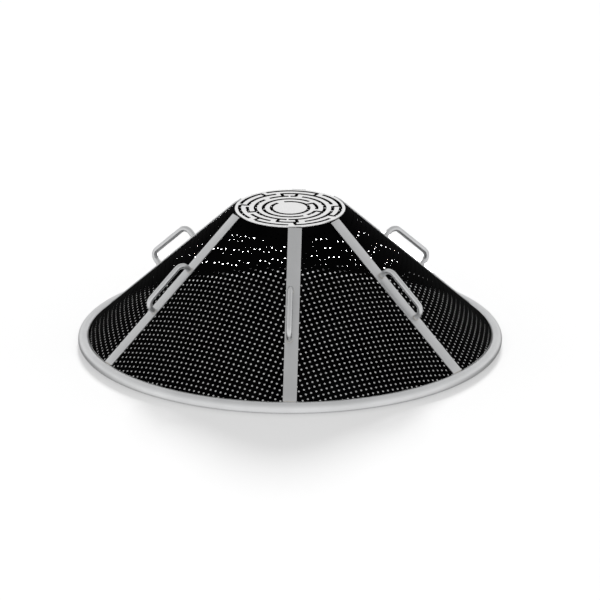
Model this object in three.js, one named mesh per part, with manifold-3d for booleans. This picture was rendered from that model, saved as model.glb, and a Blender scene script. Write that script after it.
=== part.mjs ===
// A conical spark cover for a round fire pit: a rolled tube base ring, six flat steel ribs with a
// perforated sheet panel between each pair, a lifting handle on every rib, and a flat top plate
// cut through with a labyrinth of slots. Millimetres, +Z up, the base ring stands on z = 0 and
// the cone's axis is the Z axis. The seam that faces -Y is the front one.
import * as THREE from 'three';
import { mergeVertices } from 'three/addons/utils/BufferGeometryUtils.js';
import Module from 'manifold-3d';

const wasm = await Module();
wasm.setup();

// ---------- driving dimensions ----------
const BASE_OUTER_DIAMETER = 914;
const TUBE_DIAMETER = 25.4;
const TOTAL_HEIGHT = 312;
const GAP = 0.3;

const PLATE_DIAMETER = 238;
const PLATE_THICKNESS = 3;
const SHEET_TOP_RADIUS = 121;
const SHEET_TOP_DROP = 3;
const SHEET_THICKNESS = 1;

const SEAM_COUNT = 6;
const SEAM_STEP = (2 * Math.PI) / SEAM_COUNT;
const FRONT = -Math.PI / 2;

const RIB_WIDTH = 30;
const RIB_THICKNESS = 3;
const RIB_LEAN = 0.04;
const RIB_STANDOFF = 0.9;
const RIB_FOOT = 1.4;
const RIB_TOP_SETBACK = 1;

const HANDLE_LENGTH = 130;
const HANDLE_STANDOFF = 33;
const HANDLE_ROD_DIAMETER = 12;
const HANDLE_BEND_RADIUS = 18;
const HANDLE_SIDE_OFFSET = 10.3;
const HANDLE_UP_SLOPE = 208.8;

const HOOP_WIDTH = 22;
const HOOP_THICKNESS = 3;
const HOOP_BELOW_SHEET_TOP = 4.5;

const SLOT_WIDTH = 7.2;
const SLOT_RING_RADII = [40.5, 57.7, 75, 92.2, 109];

// ---------- derived places ----------
const tubeRadius = TUBE_DIAMETER / 2;
const ringRadius = BASE_OUTER_DIAMETER / 2 - tubeRadius;
const plateUnderside = TOTAL_HEIGHT - PLATE_THICKNESS;
const sheetTopHeight = TOTAL_HEIGHT - SHEET_TOP_DROP;

// The outer face of the sheet is a cone that heads for the centre of the base tube.
const rise = sheetTopHeight - tubeRadius;
const run = ringRadius - SHEET_TOP_RADIUS;
const slope = Math.atan2(rise, run);
const slantLength = Math.hypot(rise, run);
const footDistance = tubeRadius / Math.cos(Math.PI / 12) + GAP;
const sheetLength = slantLength - footDistance;

// Point of the cone's outer face: distance up the slope from the sheet's lower edge, and height
// above the face along its normal.
function onSlope(up, above = 0) {
  const along = footDistance + up;
  return {
    radius: ringRadius - along * Math.cos(slope) + above * Math.sin(slope),
    height: tubeRadius + along * Math.sin(slope) + above * Math.cos(slope),
  };
}

// A three.js arc in a Shape is given two points for each curve segment.
const POINTS_PER_CURVE_SEGMENT = 2;

// ---------- materials ----------
const steel = new THREE.MeshStandardMaterial({ color: 0xb9bbbc, roughness: 0.38, metalness: 1 });
const plateSteel = new THREE.MeshStandardMaterial({ color: 0xdfe0e0, roughness: 0.45, metalness: 1 });
const blackSheet = new THREE.MeshStandardMaterial({ color: 0x0b0b0c, roughness: 0.7, metalness: 0.3 });

const model = new THREE.Group();

function addMesh(parent, name, geometry, material) {
  const mesh = new THREE.Mesh(geometry, material);
  mesh.name = name;
  parent.add(mesh);
  return mesh;
}

// ---------- lathed rings ----------
const RING_SEGMENTS = 72;
const TUBE_SIDES = 12;

// A ring swept about Z from a closed outline of [radius, height] points, listed anticlockwise.
function sweptRing(outline, segments) {
  const points = [...outline, outline[0]].map(([r, z]) => new THREE.Vector2(r, z));
  return new THREE.LatheGeometry(points, segments).rotateX(Math.PI / 2);
}

// The base tube's section has flats on all sides, so the ring stands on a flat at z = 0.
function tubeOutline() {
  const corner = tubeRadius / Math.cos(Math.PI / TUBE_SIDES);
  return Array.from({ length: TUBE_SIDES }, (_, i) => {
    const angle = ((i + 0.5) * 2 * Math.PI) / TUBE_SIDES;
    return [ringRadius + corner * Math.cos(angle), tubeRadius + corner * Math.sin(angle)];
  });
}
addMesh(model, 'base_ring', sweptRing(tubeOutline(), RING_SEGMENTS), steel);

// Rolled strip under the top plate, inside the sheet: the panels' upper edges are welded to it.
function hoopOutline() {
  const outer = -(SHEET_THICKNESS + GAP + 1);
  const inner = outer - HOOP_THICKNESS;
  const top = sheetLength - HOOP_BELOW_SHEET_TOP;
  const corners = [
    onSlope(top - HOOP_WIDTH, inner),
    onSlope(top - HOOP_WIDTH, outer),
    onSlope(top, outer),
    onSlope(top, inner),
  ];
  return corners.map(({ radius, height }) => [radius, height]);
}
addMesh(model, 'top_hoop', sweptRing(hoopOutline(), RING_SEGMENTS), blackSheet);

// ---------- labyrinth top plate ----------
// Each slot arc: ring number from the centre out, start and end in degrees anticlockwise from +X.
// The three short breaks, near 93, 268 and 350 degrees, are bridges that hold in what would
// otherwise be cut free.
const SLOT_ARCS = [
  [0, 132, 470],
  [1, 47, 302], [1, 312, 343], [1, 354, 396],
  [2, 138, 266.5], [2, 269.5, 432], [2, 81, 91.5], [2, 94.5, 128],
  [3, 292, 349], [3, 351.5, 369], [3, 16, 105], [3, 111, 173], [3, 178, 201], [3, 208, 245], [3, 253, 284],
  [4, 332, 412], [4, 58, 120], [4, 125, 168], [4, 172, 219], [4, 229, 270], [4, 277, 324],
];
// Each cross slot joins a ring to the next one out, at an angle in degrees.
const CROSS_SLOTS = [
  [0, 34.5], [1, 342],
  [2, 82.5], [2, 103.5], [2, 199.5], [2, 254], [2, 282],
  [3, 8], [3, 59], [3, 126.5], [3, 171.5], [3, 227], [3, 278], [3, 333],
];
const PLATE_SEGMENTS = 72;
const ARC_STEP = 8;

function toManifold(geometry) {
  const bare = geometry.clone();
  bare.deleteAttribute('normal');
  bare.deleteAttribute('uv');
  const merged = mergeVertices(bare, 1e-4);
  return new wasm.Manifold(new wasm.Mesh({
    numProp: 3,
    vertProperties: new Float32Array(merged.attributes.position.array),
    triVerts: new Uint32Array(merged.index.array),
  }));
}

function toGeometry(solid) {
  const { vertProperties, triVerts } = solid.getMesh();
  const geometry = new THREE.BufferGeometry();
  geometry.setAttribute('position', new THREE.BufferAttribute(vertProperties, 3));
  geometry.setIndex(new THREE.BufferAttribute(triVerts, 1));
  geometry.computeVertexNormals();
  return geometry;
}

const radians = THREE.MathUtils.degToRad;
const CUT_DEPTH = PLATE_THICKNESS + 2;

function slotArc([ring, start, end]) {
  const middle = SLOT_RING_RADII[ring];
  const shape = new THREE.Shape();
  shape.absarc(0, 0, middle + SLOT_WIDTH / 2, radians(start), radians(end), false);
  shape.absarc(0, 0, middle - SLOT_WIDTH / 2, radians(end), radians(start), true);
  shape.closePath();
  const steps = Math.max(1, Math.ceil((end - start) / ARC_STEP / POINTS_PER_CURVE_SEGMENT));
  const cutter = new THREE.ExtrudeGeometry(shape, {
    depth: CUT_DEPTH, bevelEnabled: false, curveSegments: steps,
  });
  return toManifold(cutter.translate(0, 0, plateUnderside - 1));
}

function crossSlot([ring, angle]) {
  const from = SLOT_RING_RADII[ring];
  const to = SLOT_RING_RADII[ring + 1];
  const cutter = new THREE.BoxGeometry(to - from, SLOT_WIDTH, CUT_DEPTH);
  cutter.translate((from + to) / 2, 0, plateUnderside + PLATE_THICKNESS / 2);
  return toManifold(cutter.rotateZ(radians(angle)));
}

function topPlate() {
  const blank = new THREE.CylinderGeometry(
    PLATE_DIAMETER / 2, PLATE_DIAMETER / 2, PLATE_THICKNESS, PLATE_SEGMENTS);
  blank.rotateX(Math.PI / 2).translate(0, 0, plateUnderside + PLATE_THICKNESS / 2);
  const cutters = [...SLOT_ARCS.map(slotArc), ...CROSS_SLOTS.map(crossSlot)];
  const plate = cutters.reduce((solid, cutter) => solid.subtract(cutter), toManifold(blank));
  return toGeometry(plate);
}
addMesh(model, 'top_plate', topPlate(), plateSteel);

// ---------- ribs and handles, one of each on every seam ----------
// A seam frame has X across the slope, Y up the slope and Z out of the cone, with its origin on
// the cone's outer face at the sheet's lower edge.
function seamFrame(index) {
  const frame = new THREE.Group();
  const { radius, height } = onSlope(0);
  const angle = FRONT + index * SEAM_STEP;
  const outward = new THREE.Vector3(Math.cos(angle), Math.sin(angle), 0);
  const across = new THREE.Vector3(-Math.sin(angle), Math.cos(angle), 0);
  const up = new THREE.Vector3().addScaledVector(outward, -Math.cos(slope));
  up.z = Math.sin(slope);
  const normal = new THREE.Vector3().crossVectors(across, up);
  frame.quaternion.setFromRotationMatrix(new THREE.Matrix4().makeBasis(across, up, normal));
  frame.position.copy(outward).multiplyScalar(radius).setZ(height);
  return frame;
}

// The ribs come in mirrored pairs: one long edge lies on the seam, the bar itself beside it.
const ribSide = (index) => (index % 2 === 0 ? 1 : -1);

function ribGeometry(side) {
  const length = sheetLength - RIB_FOOT - RIB_TOP_SETBACK;
  const bar = new THREE.BoxGeometry(RIB_WIDTH, length, RIB_THICKNESS);
  bar.translate(side * RIB_WIDTH / 2, RIB_FOOT + length / 2, RIB_THICKNESS / 2);
  bar.rotateY(side * RIB_LEAN);
  return bar.translate(0, 0, RIB_STANDOFF);
}

const HANDLE_STEPS = 26;
const ROD_SIDES = 8;
function handleGeometry() {
  const half = (HANDLE_LENGTH - HANDLE_ROD_DIAMETER) / 2;
  const top = HANDLE_STANDOFF - HANDLE_ROD_DIAMETER / 2;
  const bend = HANDLE_BEND_RADIUS;
  const at = (y, z) => new THREE.Vector3(0, y, z);
  const path = new THREE.CurvePath();
  path.add(new THREE.LineCurve3(at(-half, 0), at(-half, top - bend)));
  path.add(new THREE.QuadraticBezierCurve3(at(-half, top - bend), at(-half, top), at(bend - half, top)));
  path.add(new THREE.LineCurve3(at(bend - half, top), at(half - bend, top)));
  path.add(new THREE.QuadraticBezierCurve3(at(half - bend, top), at(half, top), at(half, top - bend)));
  path.add(new THREE.LineCurve3(at(half, top - bend), at(half, 0)));
  const section = new THREE.Shape();
  section.absarc(0, 0, HANDLE_ROD_DIAMETER / 2, 0, 2 * Math.PI, false);
  return new THREE.ExtrudeGeometry(section, {
    extrudePath: path,
    steps: HANDLE_STEPS,
    curveSegments: ROD_SIDES / POINTS_PER_CURVE_SEGMENT,
    bevelEnabled: false,
  });
}

for (let i = 0; i < SEAM_COUNT; i++) {
  const side = ribSide(i);
  const frame = seamFrame(i);
  model.add(frame);
  addMesh(frame, `rib_${i + 1}`, ribGeometry(side), steel);
  const handle = addMesh(frame, `handle_${i + 1}`, handleGeometry(), steel);
  const ribFace = RIB_STANDOFF + RIB_THICKNESS;
  handle.position.set(side * HANDLE_SIDE_OFFSET, HANDLE_UP_SLOPE, ribFace + GAP);
}

// ---------- perforated sheet panels ----------
// Each panel is one bent sheet whose side edges meet its neighbours' under the ribs, so panels
// between ribs that lie away from each other are wider than those between ribs that lie close.
const PANEL_FACETS = 8;
const PANEL_EDGE_SHIFT = Math.asin(RIB_WIDTH / 2 / onSlope(sheetLength / 2).radius);

function panelGeometry(startAngle, endAngle) {
  const panel = new THREE.BoxGeometry(1, 1, 1, PANEL_FACETS, 1, 1);
  const place = panel.attributes.position;
  for (let i = 0; i < place.count; i++) {
    const across = place.getX(i) + 0.5;
    const up = (place.getY(i) + 0.5) * sheetLength;
    const above = (place.getZ(i) - 0.5) * SHEET_THICKNESS;
    const { radius, height } = onSlope(up, above);
    const edgeGap = (GAP / 2 / radius) * (1 - 2 * across);
    const angle = THREE.MathUtils.lerp(startAngle, endAngle, across) + edgeGap;
    place.setXYZ(i, radius * Math.cos(angle), radius * Math.sin(angle), height);
  }
  panel.computeVertexNormals();
  return panel;
}

for (let i = 0; i < SEAM_COUNT; i++) {
  const start = FRONT + i * SEAM_STEP + ribSide(i) * PANEL_EDGE_SHIFT;
  const end = FRONT + (i + 1) * SEAM_STEP + ribSide(i + 1) * PANEL_EDGE_SHIFT;
  addMesh(model, `mesh_panel_${i + 1}`, panelGeometry(start, end), blackSheet);
}

export default model;
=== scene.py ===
import math

import bmesh
import bpy
import numpy as np
from mathutils import Matrix, Vector


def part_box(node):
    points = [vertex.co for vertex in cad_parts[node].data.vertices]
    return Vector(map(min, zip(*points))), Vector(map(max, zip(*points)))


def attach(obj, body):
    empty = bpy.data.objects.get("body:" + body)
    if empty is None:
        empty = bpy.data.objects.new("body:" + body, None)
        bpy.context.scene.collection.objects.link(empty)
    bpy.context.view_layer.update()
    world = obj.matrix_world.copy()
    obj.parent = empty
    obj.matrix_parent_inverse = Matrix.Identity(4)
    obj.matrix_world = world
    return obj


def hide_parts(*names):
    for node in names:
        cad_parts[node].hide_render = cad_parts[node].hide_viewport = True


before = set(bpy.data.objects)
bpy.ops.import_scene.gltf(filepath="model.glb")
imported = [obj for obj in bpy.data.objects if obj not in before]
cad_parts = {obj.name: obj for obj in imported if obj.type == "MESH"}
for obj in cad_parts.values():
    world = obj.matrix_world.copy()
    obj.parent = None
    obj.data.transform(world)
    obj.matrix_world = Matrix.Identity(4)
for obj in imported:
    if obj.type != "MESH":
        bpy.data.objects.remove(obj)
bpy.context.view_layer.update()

# A conical spark cover for a fire pit. Metres, in the CAD model's frame: +Z up, the front seam
# faces -Y. Each piece made here stands in for the CAD solid in the same place; the weld beads
# have none.

# ---------- places taken from the frame ----------
ring_low, ring_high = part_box("base_ring")
plate_low, plate_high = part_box("top_plate")

TUBE_RADIUS = (ring_high.z - ring_low.z) / 2
RING_RADIUS = ring_high.x - TUBE_RADIUS
PLATE_RADIUS = plate_high.x
PLATE_TOP = plate_high.z
PLATE_THICKNESS = plate_high.z - plate_low.z

# ---------- driving dimensions ----------
# They are the CAD model's, apart from a thinner sheet with real holes, ribs and handles that
# reach the pieces they are welded to, round bends, and a hoop half a millimetre deeper.
GAP = 0.0003
CAD_TUBE_SIDES = 12

SHEET_TOP_RADIUS = 0.121
SHEET_TOP_DROP = 0.003
SHEET_TOP_HEIGHT = PLATE_TOP - SHEET_TOP_DROP
SHEET_THICKNESS = 0.0006
HOLE_DIAMETER = 0.0045
HOLE_PITCH = 0.012
FIRST_ROW_INSET = 0.008
PLAIN_TOP_BAND = 0.013

SEAM_COUNT = 6
SEAM_STEP = 2 * math.pi / SEAM_COUNT
FRONT = -math.pi / 2
PANEL_EDGE_SHIFT = math.radians(3.1)
PANEL_EDGE_GAP = 0.0004  # radians

RIB_WIDTH = 0.030
RIB_THICKNESS = 0.003
RIB_LEAN = 0.04
RIB_STANDOFF = 0.0009
RIB_FOOT = 0.0004
RIB_TOP_SETBACK = 0.001
RIB_EDGE_ROUND = 0.0006

HANDLE_LENGTH = 0.130
HANDLE_STANDOFF = 0.033
ROD_RADIUS = 0.006
HANDLE_BEND_RADIUS = 0.0175
HANDLE_SIDE_OFFSET = 0.0103
HANDLE_UP_SLOPE = 0.2088
HANDLE_FOOT_SINK = 0.0006

HOOP_WIDTH = 0.022
HOOP_THICKNESS = 0.003
HOOP_BELOW_SHEET_TOP = 0.0045
HOOP_DEPTH = 0.0028
HOOP_EDGE_ROUND = 0.0004

PLATE_RIM = 0.0006
PLATE_BEAD_SIZE = 0.0012
PLATE_BEAD_OUTSET = 0.001
PLATE_BEAD_DROP = 0.0006

SLOT_WIDTH = 0.0072
CUT_OVERSHOOT = 0.001
DEGREES_PER_STEP = 2
SLOT_RING_RADII = (0.0405, 0.0577, 0.0750, 0.0922, 0.1090)
SLOT_ARCS = (
    (0, 132, 470),
    (1, 47, 302), (1, 312, 343), (1, 354, 396),
    (2, 138, 266.5), (2, 269.5, 432), (2, 81, 91.5), (2, 94.5, 128),
    (3, 292, 349), (3, 351.5, 369), (3, 16, 105), (3, 111, 173), (3, 178, 201), (3, 208, 245),
    (3, 253, 284),
    (4, 332, 412), (4, 58, 120), (4, 125, 168), (4, 172, 219), (4, 229, 270), (4, 277, 324),
)
CROSS_SLOTS = (
    (0, 34.5), (1, 342),
    (2, 82.5), (2, 103.5), (2, 199.5), (2, 254), (2, 282),
    (3, 8), (3, 59), (3, 126.5), (3, 171.5), (3, 227), (3, 278), (3, 333),
)

# ---------- the cone ----------
SLOPE = math.atan2(SHEET_TOP_HEIGHT - TUBE_RADIUS, RING_RADIUS - SHEET_TOP_RADIUS)
SLANT = math.hypot(SHEET_TOP_HEIGHT - TUBE_RADIUS, RING_RADIUS - SHEET_TOP_RADIUS)
# The sheet starts just clear of the corners of the CAD model's twelve-sided tube.
FOOT_DISTANCE = TUBE_RADIUS / math.cos(math.pi / CAD_TUBE_SIDES) + GAP
SHEET_LENGTH = SLANT - FOOT_DISTANCE


def on_slope(up, above=0.0):
    """Radius and height of a point up the sheet from its lower edge and above its outer face."""
    along = FOOT_DISTANCE + up
    radius = RING_RADIUS - along * math.cos(SLOPE) + above * math.sin(SLOPE)
    height = TUBE_RADIUS + along * math.sin(SLOPE) + above * math.cos(SLOPE)
    return radius, height


def seam_matrix(index):
    """X across the slope, Y up it and Z out of the cone, at the sheet's lower edge on a seam."""
    angle = FRONT + index * SEAM_STEP
    radius, height = on_slope(0)
    outward = Vector((math.cos(angle), math.sin(angle), 0))
    across = Vector((-math.sin(angle), math.cos(angle), 0))
    up = -math.cos(SLOPE) * outward + Vector((0, 0, math.sin(SLOPE)))
    normal = across.cross(up)
    matrix = Matrix((across, up, normal)).transposed().to_4x4()
    matrix.translation = outward * radius + Vector((0, 0, height))
    return matrix


def rib_side(index):
    return 1 if index % 2 == 0 else -1


# ---------- material helpers ----------
def new_material(name):
    material = bpy.data.materials.new(name)
    material.use_nodes = True
    nodes = material.node_tree.nodes
    return material, nodes, material.node_tree.links, nodes["Principled BSDF"]


def noise_node(nodes, links, scale, detail, stretch=(1, 1, 1)):
    """Noise in the piece's own coordinates; stretch squeezes it along an axis to make grain."""
    coords = nodes.new("ShaderNodeTexCoord")
    mapping = nodes.new("ShaderNodeMapping")
    mapping.inputs["Scale"].default_value = stretch
    noise = nodes.new("ShaderNodeTexNoise")
    noise.inputs["Scale"].default_value = scale
    noise.inputs["Detail"].default_value = detail
    links.new(coords.outputs["Object"], mapping.inputs["Vector"])
    links.new(mapping.outputs["Vector"], noise.inputs["Vector"])
    return noise.outputs["Fac"]


def remap(nodes, links, value, low, high, from_low=0.3, from_high=0.7):
    node = nodes.new("ShaderNodeMapRange")
    node.inputs["From Min"].default_value = from_low
    node.inputs["From Max"].default_value = from_high
    node.inputs["To Min"].default_value = low
    node.inputs["To Max"].default_value = high
    links.new(value, node.inputs["Value"])
    return node.outputs["Result"]


def mix_colours(nodes, links, value, first, second):
    node = nodes.new("ShaderNodeMix")
    node.data_type = "RGBA"
    node.inputs[6].default_value = (*first, 1)
    node.inputs[7].default_value = (*second, 1)
    links.new(value, node.inputs[0])
    return node.outputs[2]


def bump(nodes, links, height, strength, distance, below=None):
    node = nodes.new("ShaderNodeBump")
    node.inputs["Strength"].default_value = strength
    node.inputs["Distance"].default_value = distance
    links.new(height, node.inputs["Height"])
    if below is not None:
        links.new(below, node.inputs["Normal"])
    return node.outputs["Normal"]


def satin_steel(name, dark, light, grain_stretch, rough=(0.34, 0.46)):
    """Stainless steel with a satin finish: fine grain along one way, and faint handling marks."""
    material, nodes, links, shader = new_material(name)
    cloud = noise_node(nodes, links, 9, 4)
    grain = noise_node(nodes, links, 60, 3, grain_stretch)
    speckle = noise_node(nodes, links, 900, 2)
    tone = remap(nodes, links, cloud, 0, 1)
    links.new(mix_colours(nodes, links, tone, dark, light), shader.inputs["Base Color"])
    links.new(remap(nodes, links, grain, *rough), shader.inputs["Roughness"])
    shader.inputs["Metallic"].default_value = 1.0
    fine = bump(nodes, links, speckle, 0.10, 0.0001)
    links.new(bump(nodes, links, grain, 0.12, 0.0002, fine), shader.inputs["Normal"])
    return material


def black_paint():
    """Matt heat-resistant black on the perforated sheet, slightly mottled."""
    material, nodes, links, shader = new_material("black_sheet_paint")
    mottle = noise_node(nodes, links, 14, 5)
    orange_peel = noise_node(nodes, links, 700, 2)
    tone = remap(nodes, links, mottle, 0, 1, 0.35, 0.75)
    colour = mix_colours(nodes, links, tone, (0.0008, 0.0008, 0.0009), (0.0022, 0.0022, 0.0023))
    links.new(colour, shader.inputs["Base Color"])
    links.new(remap(nodes, links, mottle, 0.62, 0.80), shader.inputs["Roughness"])
    shader.inputs["Specular IOR Level"].default_value = 0.003
    links.new(bump(nodes, links, orange_peel, 0.15, 0.0001), shader.inputs["Normal"])
    return material


def weld_steel():
    """Brushed-off weld bead: rippled, a little darker than the bars, with a faint straw tint."""
    material, nodes, links, shader = new_material("weld_bead_steel")
    tint = noise_node(nodes, links, 160, 3)
    colour = mix_colours(nodes, links, tint, (0.50, 0.49, 0.47), (0.64, 0.61, 0.56))
    links.new(colour, shader.inputs["Base Color"])
    links.new(remap(nodes, links, tint, 0.36, 0.55), shader.inputs["Roughness"])
    shader.inputs["Metallic"].default_value = 1.0
    links.new(bump(nodes, links, tint, 0.3, 0.0003), shader.inputs["Normal"])
    return material


def cut_edge():
    """The walls of the laser-cut slots: scorched, and painted near-black as painted shade inside the
    slots; streaked from top to bottom.
    """
    material, nodes, links, shader = new_material("cut_edge_scorch_and_painted_shade")
    streaks = noise_node(nodes, links, 700, 2, (1, 1, 0.1))
    # Near-black base: partly scorch, partly painted shade that keeps the slots dark.
    colour = mix_colours(nodes, links, streaks, (0.003, 0.003, 0.003), (0.012, 0.011, 0.010))
    links.new(colour, shader.inputs["Base Color"])
    links.new(remap(nodes, links, streaks, 0.6, 0.8), shader.inputs["Roughness"])
    shader.inputs["Specular IOR Level"].default_value = 0.1
    return material


BAR_STEEL = satin_steel("bar_steel", (0.54, 0.545, 0.55), (0.62, 0.625, 0.63), (6, 0.25, 6))
ROD_STEEL = satin_steel("rod_steel", (0.60, 0.605, 0.61), (0.68, 0.685, 0.69), (6, 0.25, 6))
RING_STEEL = satin_steel("ring_steel", (0.64, 0.645, 0.65), (0.72, 0.725, 0.73), (1, 1, 6))
# The plate's steel has a far lighter base colour than the bars, rods and ring: painted light, for
# its upward face catching more light.
PLATE_STEEL_PAINTED_LIGHT = satin_steel("plate_steel", (0.93, 0.93, 0.93), (0.98, 0.98, 0.98), (0.3, 8, 8))
WELD_STEEL = weld_steel()
CUT_EDGE = cut_edge()
BLACK_PAINT = black_paint()


# ---------- mesh helpers ----------
def finish_piece(obj, material, slot, *replaced):
    """Gives the piece its material and its body, and hides the CAD nodes that it stands for."""
    obj.data.materials.clear()
    obj.data.materials.append(material)
    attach(obj, "root")
    if replaced:
        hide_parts(*replaced)
    return obj


def mesh_object(name, vertices, faces, matrix=None):
    mesh = bpy.data.meshes.new(name)
    mesh.from_pydata([tuple(v) for v in vertices], [], [tuple(f) for f in faces])
    mesh.validate()
    obj = bpy.data.objects.new(name, mesh)
    bpy.context.scene.collection.objects.link(obj)
    if matrix is not None:
        obj.matrix_world = matrix
    return obj


def smooth(obj, sharp_degrees=35):
    mesh = obj.data
    mesh.polygons.foreach_set("use_smooth", [True] * len(mesh.polygons))
    mesh.set_sharp_from_angle(angle=math.radians(sharp_degrees))
    return obj


def clean_normals(obj):
    bm = bmesh.new()
    bm.from_mesh(obj.data)
    bmesh.ops.recalc_face_normals(bm, faces=bm.faces)
    bm.to_mesh(obj.data)
    bm.free()
    return obj


def apply_modifiers(obj):
    graph = bpy.context.evaluated_depsgraph_get()
    mesh = bpy.data.meshes.new_from_object(obj.evaluated_get(graph))
    old = obj.data
    obj.modifiers.clear()
    obj.data = mesh
    bpy.data.meshes.remove(old)
    return obj


def bevel(obj, width, segments=2, angle=30):
    modifier = obj.modifiers.new("edge", "BEVEL")
    modifier.width = width
    modifier.segments = segments
    modifier.limit_method = "ANGLE"
    modifier.angle_limit = math.radians(angle)
    modifier.use_clamp_overlap = True
    return apply_modifiers(obj)


def loop_faces(rows, sides):
    """Quads between rows of points that go round and meet: each row is a closed outline."""
    faces = []
    for i in range(rows):
        for j in range(sides):
            k, n, m = (j + 1) % sides, i * sides, (i + 1) % rows * sides
            faces.append((n + j, n + k, m + k, m + j))
    return faces


def bar_faces(rows, sides):
    """Quads between rows of points along a bar, and a cap at each end."""
    faces = []
    for i in range(rows - 1):
        for j in range(sides):
            k = (j + 1) % sides
            faces.append((i * sides + j, i * sides + k, (i + 1) * sides + k, (i + 1) * sides + j))
    last = (rows - 1) * sides
    return faces + [tuple(range(sides)), tuple(last + j for j in range(sides))]


def prism_sides(count):
    """The walls of a prism whose lower outline is listed first, then its upper one."""
    return [(i, (i + 1) % count, (i + 1) % count + count, i + count) for i in range(count)]


def band_caps(count, across):
    """Quads over both ends of a prism whose outline runs out along a band and back again."""
    caps = []
    for base in (0, count):
        for i in range(across - 1):
            caps.append((base + i, base + i + 1, base + count - 2 - i, base + count - 1 - i))
    return caps


def round_outline(radius, height, size, sides):
    """A circle of (radius, height) points round a middle, for the lathe."""
    outline = []
    for i in range(sides):
        angle = 2 * math.pi * i / sides
        outline.append((radius + size * math.cos(angle), height + size * math.sin(angle)))
    return outline


def lathe(name, outline, segments):
    """A ring of a closed outline of (radius, height) points swept about Z."""
    vertices = []
    for i in range(segments):
        angle = 2 * math.pi * i / segments
        vertices += [(r * math.cos(angle), r * math.sin(angle), z) for r, z in outline]
    faces = loop_faces(segments, len(outline))
    return clean_normals(mesh_object(name, vertices, faces))


def rod(name, points, radius, sides, matrix=None):
    """A round rod along points that lie in one plane, X = constant."""
    vertices = []
    for i, point in enumerate(points):
        before, after = points[max(i - 1, 0)], points[min(i + 1, len(points) - 1)]
        along = (after - before).normalized()
        side = Vector((1, 0, 0))
        other = along.cross(side)
        for j in range(sides):
            angle = 2 * math.pi * j / sides
            offset = side * math.cos(angle) + other * math.sin(angle)
            vertices.append(point + offset * radius)
    faces = bar_faces(len(points), sides)
    return clean_normals(mesh_object(name, vertices, faces, matrix))


def arc_points(centre, radius, start, end, steps):
    """Points on an arc in the YZ plane, angles in degrees from +Y."""
    points = []
    for i in range(steps + 1):
        angle = math.radians(start + (end - start) * i / steps)
        points.append(centre + Vector((0, math.cos(angle), math.sin(angle))) * radius)
    return points


# ---------- base ring ----------
def base_ring():
    outline = round_outline(RING_RADIUS, TUBE_RADIUS, TUBE_RADIUS, 40)
    ring = smooth(lathe("rolled_base_ring", outline, 256), 60)
    return finish_piece(ring, RING_STEEL, "satin_steel", "base_ring")


# ---------- hoop under the plate ----------
def top_hoop():
    outer = -HOOP_DEPTH
    inner = outer - HOOP_THICKNESS
    top = SHEET_LENGTH - HOOP_BELOW_SHEET_TOP
    corners = [on_slope(top - HOOP_WIDTH, inner), on_slope(top - HOOP_WIDTH, outer),
               on_slope(top, outer), on_slope(top, inner)]
    hoop = bevel(lathe("rolled_top_hoop", corners, 192), HOOP_EDGE_ROUND)
    return finish_piece(smooth(hoop), BLACK_PAINT, "black_sheet", "top_hoop")


# ---------- labyrinth top plate ----------
def slot_cutters():
    """One closed prism for each slot arc and cross slot."""
    low, high = PLATE_TOP - PLATE_THICKNESS - CUT_OVERSHOOT, PLATE_TOP + CUT_OVERSHOOT
    prisms = []
    for ring, start, end in SLOT_ARCS:
        middle, half = SLOT_RING_RADII[ring], SLOT_WIDTH / 2
        steps = max(2, round((end - start) / DEGREES_PER_STEP))
        angles = [math.radians(start + (end - start) * i / steps) for i in range(steps + 1)]
        outline = [((middle + half) * math.cos(a), (middle + half) * math.sin(a)) for a in angles]
        outline += [((middle - half) * math.cos(a), (middle - half) * math.sin(a))
                    for a in reversed(angles)]
        prisms.append((outline, steps + 1))
    for ring, angle in CROSS_SLOTS:
        near, far = SLOT_RING_RADII[ring], SLOT_RING_RADII[ring + 1]
        a, half = math.radians(angle), SLOT_WIDTH / 2
        along, side = Vector((math.cos(a), math.sin(a))), Vector((-math.sin(a), math.cos(a)))
        corners = ((near, -half), (far, -half), (far, half), (near, half))
        prisms.append(([tuple(along * x + side * y) for x, y in corners], 2))
    cutters = []
    for outline, across in prisms:
        count = len(outline)
        vertices = [(x, y, low) for x, y in outline] + [(x, y, high) for x, y in outline]
        faces = prism_sides(count) + band_caps(count, across)
        cutters.append(clean_normals(mesh_object("slot_cutter", vertices, faces)))
    return cutters


def boolean(target, tool, operation):
    modifier = target.modifiers.new("cut", "BOOLEAN")
    modifier.object = tool
    modifier.operation = operation
    modifier.solver = "MANIFOLD"
    apply_modifiers(target)
    mesh = tool.data
    bpy.data.objects.remove(tool)
    bpy.data.meshes.remove(mesh)
    return target


def top_plate():
    """The round blank with a chamfered rim, cut through by every slot."""
    rim = PLATE_RIM
    low = PLATE_TOP - PLATE_THICKNESS
    profile = [(PLATE_RADIUS - rim, low), (PLATE_RADIUS, low + rim),
               (PLATE_RADIUS, PLATE_TOP - rim), (PLATE_RADIUS - rim, PLATE_TOP)]
    segments = 240
    vertices = []
    for r, z in profile:
        for i in range(segments):
            angle = 2 * math.pi * i / segments
            vertices.append((r * math.cos(angle), r * math.sin(angle), z))
    faces = bar_faces(len(profile), segments)
    plate = clean_normals(mesh_object("labyrinth_top_plate", vertices, faces))
    for cutter in slot_cutters():
        boolean(plate, cutter, "DIFFERENCE")
    # The plate takes the lightened steel, which is painted light on its upward face.
    finish_piece(smooth(plate, 20), PLATE_STEEL_PAINTED_LIGHT, "plate_steel", "top_plate")
    # The slot walls take the cut-edge material: scorch and painted shade.
    plate.data.materials.append(CUT_EDGE)
    for polygon in plate.data.polygons:
        in_slot = math.hypot(polygon.center.x, polygon.center.y) < PLATE_RADIUS - 2 * rim
        if in_slot and abs(polygon.normal.z) < 0.5:
            polygon.material_index = 1
    return plate


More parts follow.
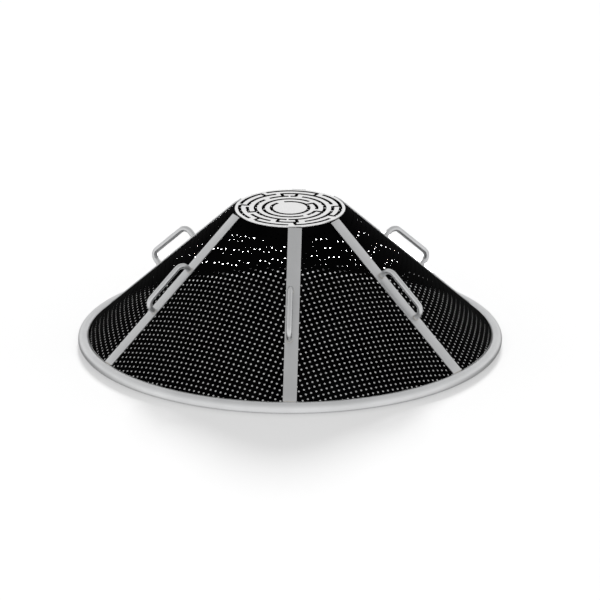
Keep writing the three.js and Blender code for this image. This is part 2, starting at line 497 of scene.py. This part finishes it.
def plate_weld():
    """The painted bead that joins the plate's rim to the upper edges of the panels."""
    height = PLATE_TOP - PLATE_THICKNESS - PLATE_BEAD_DROP
    outline = round_outline(PLATE_RADIUS + PLATE_BEAD_OUTSET, height, PLATE_BEAD_SIZE, 10)
    bead = smooth(lathe("plate_weld_bead", outline, 240), 60)
    return finish_piece(bead, BLACK_PAINT, "black_sheet")


# ---------- ribs ----------
def rib(index):
    """A flat bar with one long edge on the seam, leaning a little to follow the cone."""
    side = rib_side(index)
    head = SHEET_LENGTH - RIB_TOP_SETBACK
    corners = ((0, 0), (RIB_WIDTH, 0), (RIB_WIDTH, RIB_THICKNESS), (0, RIB_THICKNESS))
    lengths = 24
    vertices = []
    for i in range(lengths + 1):
        up = RIB_FOOT + (head - RIB_FOOT) * i / lengths
        vertices += [Vector((side * x, up, z)) for x, z in corners]
    faces = bar_faces(lengths + 1, len(corners))
    lean = Matrix.Rotation(side * RIB_LEAN, 3, "Y")
    vertices = [lean @ v + Vector((0, 0, RIB_STANDOFF)) for v in vertices]
    bar = mesh_object(f"flat_rib_{index + 1}", vertices, faces, seam_matrix(index))
    bevel(clean_normals(bar), RIB_EDGE_ROUND)
    return finish_piece(smooth(bar), BAR_STEEL, "satin_steel", f"rib_{index + 1}")


# ---------- handles ----------
COLLAR_WIDTH = 0.0014
COLLAR_HEIGHT = 0.0013
COLLAR_MIDDLE = 0.0007
COLLAR_OVERLAP = 0.0002
COLLAR_RIPPLES = 12
COLLAR_RIPPLE_DEPTH = 0.10
ROD_SIDES = 28
BEND_STEPS = 14


def handle(index):
    """A round rod bent twice, standing on the rib, with a weld round each foot."""
    side = rib_side(index)
    face = RIB_STANDOFF + RIB_THICKNESS - HANDLE_FOOT_SINK
    x = side * HANDLE_SIDE_OFFSET
    middle, half = HANDLE_UP_SLOPE, HANDLE_LENGTH / 2 - ROD_RADIUS
    top = RIB_STANDOFF + RIB_THICKNESS + HANDLE_STANDOFF - ROD_RADIUS
    bend = HANDLE_BEND_RADIUS
    low_centre = Vector((x, middle - half + bend, top - bend))
    high_centre = Vector((x, middle + half - bend, top - bend))
    points = [Vector((x, middle - half, face)), Vector((x, middle - half, (face + top - bend) / 2))]
    points += arc_points(low_centre, bend, 180, 90, BEND_STEPS)
    points += [Vector((x, middle, top))]
    points += arc_points(high_centre, bend, 90, 0, BEND_STEPS)
    points += [Vector((x, middle + half, (face + top - bend) / 2)), Vector((x, middle + half, face))]
    name = f"bent_handle_{index + 1}"
    grip = rod(name, points, ROD_RADIUS, ROD_SIDES, seam_matrix(index))
    finish_piece(smooth(grip, 50), ROD_STEEL, "satin_steel", f"handle_{index + 1}")
    for end, y in (("low", middle - half), ("high", middle + half)):
        weld_collar(f"handle_weld_{index + 1}_{end}", Vector((x, y, face)), seam_matrix(index))


def weld_collar(name, foot, matrix):
    """A small rippled fillet round a handle's foot."""
    around, profile = 48, 8
    vertices = []
    for i in range(around):
        angle = 2 * math.pi * i / around
        ripple = 1 + COLLAR_RIPPLE_DEPTH * math.sin(angle * COLLAR_RIPPLES)
        for j in range(profile):
            turn = 2 * math.pi * j / profile
            radius = ROD_RADIUS - COLLAR_OVERLAP + COLLAR_WIDTH * ripple * math.cos(turn)
            height = COLLAR_MIDDLE + COLLAR_HEIGHT * ripple * math.sin(turn)
            place = Vector((radius * math.cos(angle), radius * math.sin(angle), height))
            vertices.append(foot + place)
    faces = loop_faces(around, profile)
    bead = smooth(clean_normals(mesh_object(name, vertices, faces, matrix)), 60)
    return finish_piece(bead, WELD_STEEL, "satin_steel")


FOOT_BEAD_SIZE = 0.0016
FOOT_BEAD_RIPPLE = 0.0002
FOOT_BEAD_RIPPLE_STEP = 1.9
FOOT_BEAD_END = 0.001
FOOT_BEAD_ABOVE_EDGE = 0.0002
FOOT_BEAD_TALLER = 1.2
FOOT_BEAD_UP_THE_EDGE = 0.55
FOOT_BEAD_TAPERS = 6  # each end tapers over a sixth of the bead
FOOT_BEAD_THINNEST = 0.15


def rib_weld(index):
    """The bead across a rib's foot, where it meets the base ring. It tapers at both ends."""
    side = rib_side(index)
    steps, sides = 60, 10
    vertices = []
    for i in range(steps + 1):
        t = i / steps
        x = side * (FOOT_BEAD_END + (RIB_WIDTH - 2 * FOOT_BEAD_END) * t)
        fade = min(1, FOOT_BEAD_TAPERS * t, FOOT_BEAD_TAPERS * (1 - t)) ** 0.5
        ripple = FOOT_BEAD_RIPPLE * math.sin(i * FOOT_BEAD_RIPPLE_STEP)
        size = (FOOT_BEAD_SIZE + ripple) * max(fade, FOOT_BEAD_THINNEST)
        middle = RIB_STANDOFF + RIB_THICKNESS * FOOT_BEAD_UP_THE_EDGE - RIB_LEAN * abs(x)
        for j in range(sides):
            turn = 2 * math.pi * j / sides
            y = FOOT_BEAD_ABOVE_EDGE + size * math.cos(turn)
            z = middle + FOOT_BEAD_TALLER * size * math.sin(turn)
            vertices.append(Vector((x, y, z)))
    faces = bar_faces(steps + 1, sides)
    name = f"rib_weld_{index + 1}"
    bead = smooth(clean_normals(mesh_object(name, vertices, faces, seam_matrix(index))), 60)
    return finish_piece(bead, WELD_STEEL, "satin_steel")


# ---------- perforated panels ----------
# A panel is drawn flat, as it is punched, and then bent. In the flat the apex of the cone is the
# origin and the panel's centre line runs down the page, along +V.
SLANT_TO_APEX = RING_RADIUS / math.cos(SLOPE)
LOWER_EDGE = SLANT_TO_APEX - FOOT_DISTANCE
UPPER_EDGE = LOWER_EDGE - SHEET_LENGTH
FIRST_ROW = LOWER_EDGE - FIRST_ROW_INSET
CELL_POINTS = 16


def hole_cell(u, v):
    """Quads between a square cell's outline and the hole in its middle."""
    half, hole = HOLE_PITCH / 2, HOLE_DIAMETER / 2
    points, faces = [], []
    for i in range(CELL_POINTS):
        angle = 2 * math.pi * i / CELL_POINTS
        c, s = math.cos(angle), math.sin(angle)
        edge = half / max(abs(c), abs(s))
        points.append((u + c * edge, v + s * edge))
        points.append((u + hole * c, v + hole * s))
    for i in range(CELL_POINTS):
        j = (i + 1) % CELL_POINTS
        faces.append((2 * i, 2 * j, 2 * j + 1, 2 * i + 1))
    return points, faces


def plain_cell(u, v):
    """A square cell with no hole; its outline has the same points as a punched one's."""
    half = HOLE_PITCH / 2
    points, faces = [(u, v)], []
    for i in range(CELL_POINTS):
        angle = 2 * math.pi * i / CELL_POINTS
        c, s = math.cos(angle), math.sin(angle)
        edge = half / max(abs(c), abs(s))
        points.append((u + c * edge, v + s * edge))
    for i in range(CELL_POINTS):
        faces.append((0, 1 + i, 1 + (i + 1) % CELL_POINTS))
    return points, faces


def punched_slab(half_angle):
    """The flat perforated slab, a little larger all round than the panel cut from it."""
    flat_half = half_angle * math.cos(SLOPE)
    columns = math.ceil(LOWER_EDGE * math.sin(flat_half) / HOLE_PITCH) + 1
    rows = math.ceil((LOWER_EDGE - UPPER_EDGE * math.cos(flat_half)) / HOLE_PITCH) + 1
    vertices, faces = [], []
    for row in range(-1, rows + 1):
        v = FIRST_ROW - row * HOLE_PITCH
        for column in range(-columns, columns + 1):
            u = column * HOLE_PITCH
            reach = math.hypot(u, v)
            if not UPPER_EDGE - 2 * HOLE_PITCH < reach < LOWER_EDGE + 2 * HOLE_PITCH:
                continue
            if abs(math.atan2(u, v)) > flat_half + 2 * HOLE_PITCH / reach:
                continue
            punched = reach - HOLE_DIAMETER / 2 > UPPER_EDGE + PLAIN_TOP_BAND
            points, cell = (hole_cell if punched else plain_cell)(u, v)
            base = len(vertices)
            vertices += [(x, y, 0) for x, y in points]
            faces += [tuple(base + i for i in face) for face in cell]
    slab = mesh_object("punched_slab", vertices, faces)
    bm = bmesh.new()
    bm.from_mesh(slab.data)
    bmesh.ops.remove_doubles(bm, verts=bm.verts, dist=HOLE_PITCH / 100)
    bmesh.ops.recalc_face_normals(bm, faces=bm.faces)
    bottom = bmesh.ops.duplicate(bm, geom=bm.verts[:] + bm.edges[:] + bm.faces[:])
    copied = [g for g in bottom["geom"] if isinstance(g, bmesh.types.BMVert)]
    copied_faces = [g for g in bottom["geom"] if isinstance(g, bmesh.types.BMFace)]
    bmesh.ops.translate(bm, verts=copied, vec=(0, 0, -SHEET_THICKNESS))
    bmesh.ops.reverse_faces(bm, faces=copied_faces)
    pairs = bottom["vert_map"]
    for edge in [e for e in bm.edges if e.is_boundary and e.verts[0].co.z > -1e-6]:
        a, b = edge.verts
        bm.faces.new((a, b, pairs[b], pairs[a]))
    bmesh.ops.recalc_face_normals(bm, faces=bm.faces)
    bm.to_mesh(slab.data)
    bm.free()
    return slab


def panel_blank(start, end):
    """The panel's flat outline as a prism: two straight sides and two arcs."""
    steps = 64
    outline = []
    for reach, way in ((LOWER_EDGE, 1), (UPPER_EDGE, -1)):
        for i in range(steps + 1):
            t = i / steps if way == 1 else 1 - i / steps
            angle = (start + (end - start) * t) * math.cos(SLOPE)
            outline.append((reach * math.sin(angle), reach * math.cos(angle)))
    count = len(outline)
    low, high = -2 * SHEET_THICKNESS, SHEET_THICKNESS
    vertices = [(x, y, low) for x, y in outline] + [(x, y, high) for x, y in outline]
    faces = prism_sides(count) + band_caps(count, steps + 1)
    return clean_normals(mesh_object("panel_blank", vertices, faces))


def bend_panel(mesh, centre_angle):
    """Rolls the flat sheet onto the cone about the panel's centre line."""
    count = len(mesh.vertices)
    flat = np.empty(count * 3)
    mesh.vertices.foreach_get("co", flat)
    u, v, above = flat.reshape(-1, 3).T
    reach = np.hypot(u, v)
    angle = centre_angle + np.arctan2(u, v) / math.cos(SLOPE)
    radius = reach * math.cos(SLOPE) + above * math.sin(SLOPE)
    drop = (SLANT_TO_APEX - reach) * math.sin(SLOPE)
    height = TUBE_RADIUS + drop + above * math.cos(SLOPE)
    bent = np.stack([radius * np.cos(angle), radius * np.sin(angle), height], 1)
    mesh.vertices.foreach_set("co", bent.ravel())
    mesh.update()


def perforated_panels():
    """Wide and narrow panels take turns, because the ribs lie to either side of the seams."""
    slab = punched_slab(SEAM_STEP / 2 + PANEL_EDGE_SHIFT)
    flat_panels = []
    for shift in (-PANEL_EDGE_SHIFT, PANEL_EDGE_SHIFT):
        half = SEAM_STEP / 2 + shift - PANEL_EDGE_GAP
        sheet = slab.copy()
        sheet.data = slab.data.copy()
        bpy.context.scene.collection.objects.link(sheet)
        flat_panels.append(boolean(sheet, panel_blank(-half, half), "INTERSECT"))
    for i in range(SEAM_COUNT):
        panel = flat_panels[i % 2].copy()
        panel.data = panel.data.copy()
        panel.name = f"perforated_panel_{i + 1}"
        bpy.context.scene.collection.objects.link(panel)
        bend_panel(panel.data, FRONT + (i + 0.5) * SEAM_STEP)
        finish_piece(clean_normals(panel), BLACK_PAINT, "black_sheet", f"mesh_panel_{i + 1}")
    for spare in (slab, *flat_panels):
        mesh = spare.data
        bpy.data.objects.remove(spare)
        bpy.data.meshes.remove(mesh)


# ---------- floor, light and camera ----------
VIEW_AZIMUTH = math.radians(2.1)
VIEW_ELEVATION = math.radians(19.6)
VIEW_WIDTH = 1.2934
VIEW_ASIDE = 0.0214
VIEW_ABOVE = 0.0953
VIEW_DISTANCE = 6.0

FLOOR_SIZE = 120
FLOOR_DROP = 0.0005
FLOOR_GLOW = 0.27

GLOW_NEAR, GLOW_FAR = 0.475, 0.735
GLOW_NEAR_HALF, GLOW_FAR_HALF = 0.30, 0.18
GLOW_STRENGTH = 12

WORLD_STRENGTH = 1.05
SUN_STRENGTH = 3.9
SUN_ANGLE = math.radians(13)
SUN_ELEVATION = math.radians(24.5)


def studio_floor():
    bpy.ops.mesh.primitive_plane_add(size=FLOOR_SIZE, location=(0, 0, -FLOOR_DROP))
    floor = bpy.context.object
    floor.name = "studio_floor"
    material, _, _, shader = new_material("studio_floor_white")
    shader.inputs["Base Color"].default_value = (0.6, 0.6, 0.6, 1)
    shader.inputs["Roughness"].default_value = 0.9
    shader.inputs["Specular IOR Level"].default_value = 0.0
    shader.inputs["Emission Color"].default_value = (1, 1, 1, 1)
    shader.inputs["Emission Strength"].default_value = FLOOR_GLOW
    floor.data.materials.append(material)
    floor.visible_glossy = False


def light_sheet():
    """A bright sheet on the floor behind the cover, which hides it but for the holes."""
    corners = ((-GLOW_NEAR_HALF, GLOW_NEAR), (GLOW_NEAR_HALF, GLOW_NEAR),
               (GLOW_FAR_HALF, GLOW_FAR), (-GLOW_FAR_HALF, GLOW_FAR))
    sheet = mesh_object("light_sheet", [(x, y, 0.0) for x, y in corners], [(0, 1, 2, 3)])
    material, _, _, shader = new_material("light_sheet_glow")
    shader.inputs["Base Color"].default_value = (0.8, 0.8, 0.8, 1)
    shader.inputs["Emission Color"].default_value = (1, 1, 1, 1)
    shader.inputs["Emission Strength"].default_value = GLOW_STRENGTH
    sheet.data.materials.append(material)


def studio_light():
    """An even white surround, darker overhead and low down at the back, and one soft sun."""
    world = bpy.data.worlds.new("soft_studio")
    bpy.context.scene.world = world
    world.use_nodes = True
    nodes, links = world.node_tree.nodes, world.node_tree.links
    coords = nodes.new("ShaderNodeTexCoord")
    split = nodes.new("ShaderNodeSeparateXYZ")
    ramp = nodes.new("ShaderNodeValToRGB")
    ramp.color_ramp.elements[0].position = 0.0
    ramp.color_ramp.elements[0].color = (1, 1, 1, 1)
    ramp.color_ramp.elements[1].position = 1.0
    ramp.color_ramp.elements[1].color = (0.55, 0.55, 0.55, 1)
    links.new(coords.outputs["Generated"], split.inputs[0])
    links.new(split.outputs["Z"], ramp.inputs["Fac"])
    behind = remap(nodes, links, split.outputs["Y"], 0, 1, 0.0, 0.7)
    below = remap(nodes, links, split.outputs["Z"], 1, 0, -0.15, 0.05)
    shade = nodes.new("ShaderNodeMath")
    shade.operation = "MULTIPLY"
    links.new(behind, shade.inputs[0])
    links.new(below, shade.inputs[1])
    dark = nodes.new("ShaderNodeMix")
    dark.data_type = "RGBA"
    dark.inputs[7].default_value = (0.22, 0.22, 0.22, 1)
    links.new(shade.outputs[0], dark.inputs[0])
    links.new(ramp.outputs["Color"], dark.inputs[6])
    links.new(dark.outputs[2], nodes["Background"].inputs["Color"])
    nodes["Background"].inputs["Strength"].default_value = WORLD_STRENGTH
    data = bpy.data.lights.new("soft_back_light", "SUN")
    data.energy = SUN_STRENGTH
    data.angle = SUN_ANGLE
    light = bpy.data.objects.new("soft_back_light", data)
    bpy.context.scene.collection.objects.link(light)
    toward = Vector((0, -1, -math.tan(SUN_ELEVATION)))
    light.rotation_euler = toward.to_track_quat("-Z", "Y").to_euler()
    light.visible_glossy = False


def photo_camera():
    """A parallel view from a little above, close to straight on to the front seam."""
    data = bpy.data.cameras.new("photo_camera")
    data.type = "ORTHO"
    data.ortho_scale = VIEW_WIDTH
    camera = bpy.data.objects.new("photo_camera", data)
    bpy.context.scene.collection.objects.link(camera)
    back = Vector((math.sin(VIEW_AZIMUTH) * math.cos(VIEW_ELEVATION),
                   -math.cos(VIEW_AZIMUTH) * math.cos(VIEW_ELEVATION),
                   math.sin(VIEW_ELEVATION)))
    turn = (-back).to_track_quat("-Z", "Y")
    right, up = turn @ Vector((1, 0, 0)), turn @ Vector((0, 1, 0))
    camera.location = right * VIEW_ASIDE + up * VIEW_ABOVE + back * VIEW_DISTANCE
    camera.rotation_mode = "QUATERNION"
    camera.rotation_quaternion = turn
    bpy.context.scene.camera = camera


photo_camera()
studio_floor()
light_sheet()
studio_light()
base_ring()
top_hoop()
top_plate()
plate_weld()
perforated_panels()
for seam in range(SEAM_COUNT):
    rib(seam)
    rib_weld(seam)
    handle(seam)

bpy.context.scene.view_settings.view_transform = "Standard"
